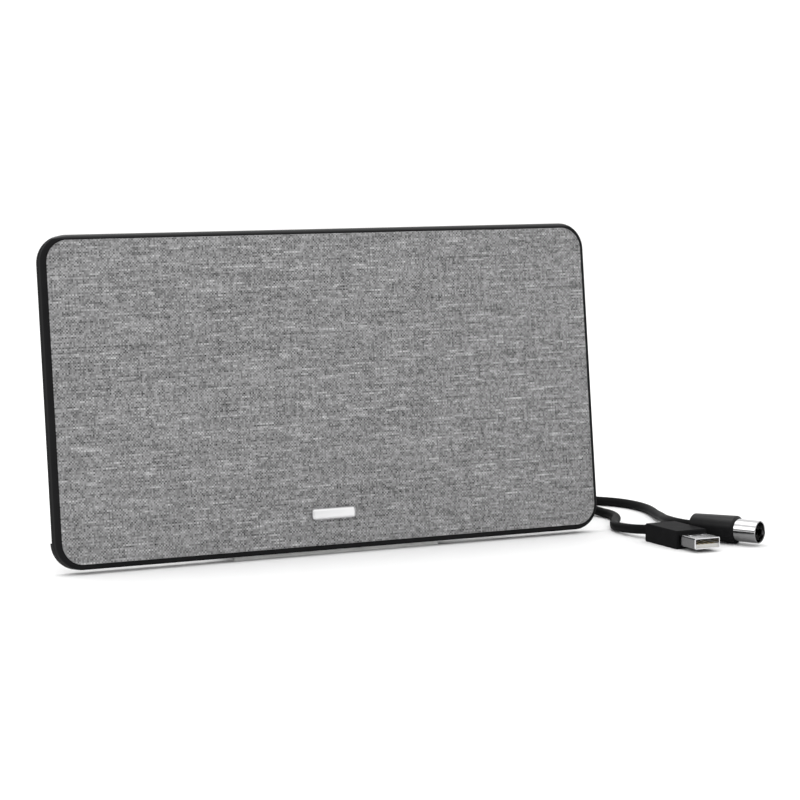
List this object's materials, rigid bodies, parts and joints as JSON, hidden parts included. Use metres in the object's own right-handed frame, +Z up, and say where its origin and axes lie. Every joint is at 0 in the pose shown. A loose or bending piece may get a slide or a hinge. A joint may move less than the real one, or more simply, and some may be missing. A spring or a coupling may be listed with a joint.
{
  "type": "indoor tv antenna",
  "caption": "Slim rectangular indoor TV antenna with a grey cloth front and black casing, leaning on a fold-out foot, with an aerial lead and a USB power lead.",
  "frame": {"origin": "on the table, at the middle of the standing panel and its opened foot, leads left out", "axes": "+X along the panel to the right seen from the front, +Y from the cloth front to the back, +Z up"},
  "size_m": [0.294, 0.1713, 0.1314],
  "materials": {
    "casing": "satin",
    "cloth": "woven",
    "carrier": "matte",
    "board": "satin",
    "copper": "satin",
    "tinplate": "satin",
    "screw_steel": "satin",
    "foot_rubber": "matte",
    "cord_jacket": "matte",
    "tie_plastic": "matte",
    "plug_body": "satin",
    "plug_metal": "polished",
    "plug_insulator": "satin",
    "contact_gold": "polished"
  },
  "bodies": {
    "panel": {"front_bezel": "casing", "rear_cover": "casing", "fabric_cover": "cloth", "front_panel": "carrier", "antenna_board": "board", "antenna_elements": "copper", "amplifier_shield": "tinplate", "board_screws": "screw_steel", "housing_screws": "screw_steel", "base_strip": "foot_rubber", "hinge_pin": "screw_steel", "coax_gland": "cord_jacket", "usb_gland": "cord_jacket", "coax_lead": "cord_jacket", "coax_coil": "cord_jacket", "coax_tie": "tie_plastic", "coax_tail": "cord_jacket", "coax_plug_body": "plug_body", "coax_plug_sleeve": "plug_metal", "coax_plug_insulator": "plug_insulator", "coax_plug_pin": "plug_metal", "usb_lead": "cord_jacket", "usb_coil": "cord_jacket", "usb_tie": "tie_plastic", "usb_tail": "cord_jacket", "usb_plug_body": "plug_body", "usb_plug_shell": "plug_metal", "usb_plug_tongue": "plug_insulator", "usb_plug_contacts": "contact_gold"},
    "stand": {"stand_foot": "casing", "stand_pad": "foot_rubber"}
  },
  "joints": [
    {"name": "stand_fold", "type": "hinge", "parent": "panel", "child": "stand", "pos_m": [0, -0.01484, 0.00732], "axis": [1, 0, 0], "range_deg": [0, 89.6]}
  ]
}
